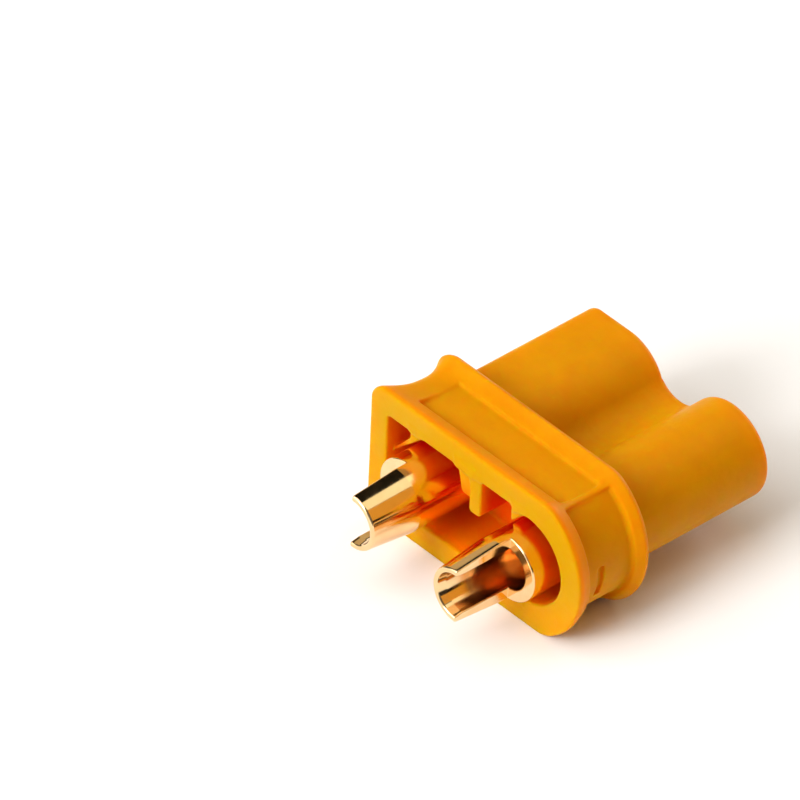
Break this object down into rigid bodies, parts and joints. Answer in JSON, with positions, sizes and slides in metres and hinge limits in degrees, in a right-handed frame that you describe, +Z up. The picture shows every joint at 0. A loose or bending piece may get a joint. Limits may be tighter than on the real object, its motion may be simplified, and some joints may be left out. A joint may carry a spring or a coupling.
{
  "type": "battery connector",
  "caption": "Battery connector, socket half: moulded nylon body with a keyed barrel nose and a waisted hood round gold-plated socket contacts with half-cut solder cups.",
  "frame": {"origin": "centre of the mating face, on the web between the two socket barrels", "axes": "+Y out of the sockets towards the mating half, X across the two poles with the square keyed end at -X and the round end at +X, +Z up through the thickness"},
  "size_m": [0.0103, 0.0124, 0.0054],
  "materials": {
    "nylon": "yellow moulded nylon, satin",
    "gold_plate": "thin gold plating on turned brass, bright"
  },
  "bodies": {
    "root": {"housing": "nylon", "contact_positive": "gold_plate", "contact_negative": "gold_plate"}
  },
  "joints": []
}
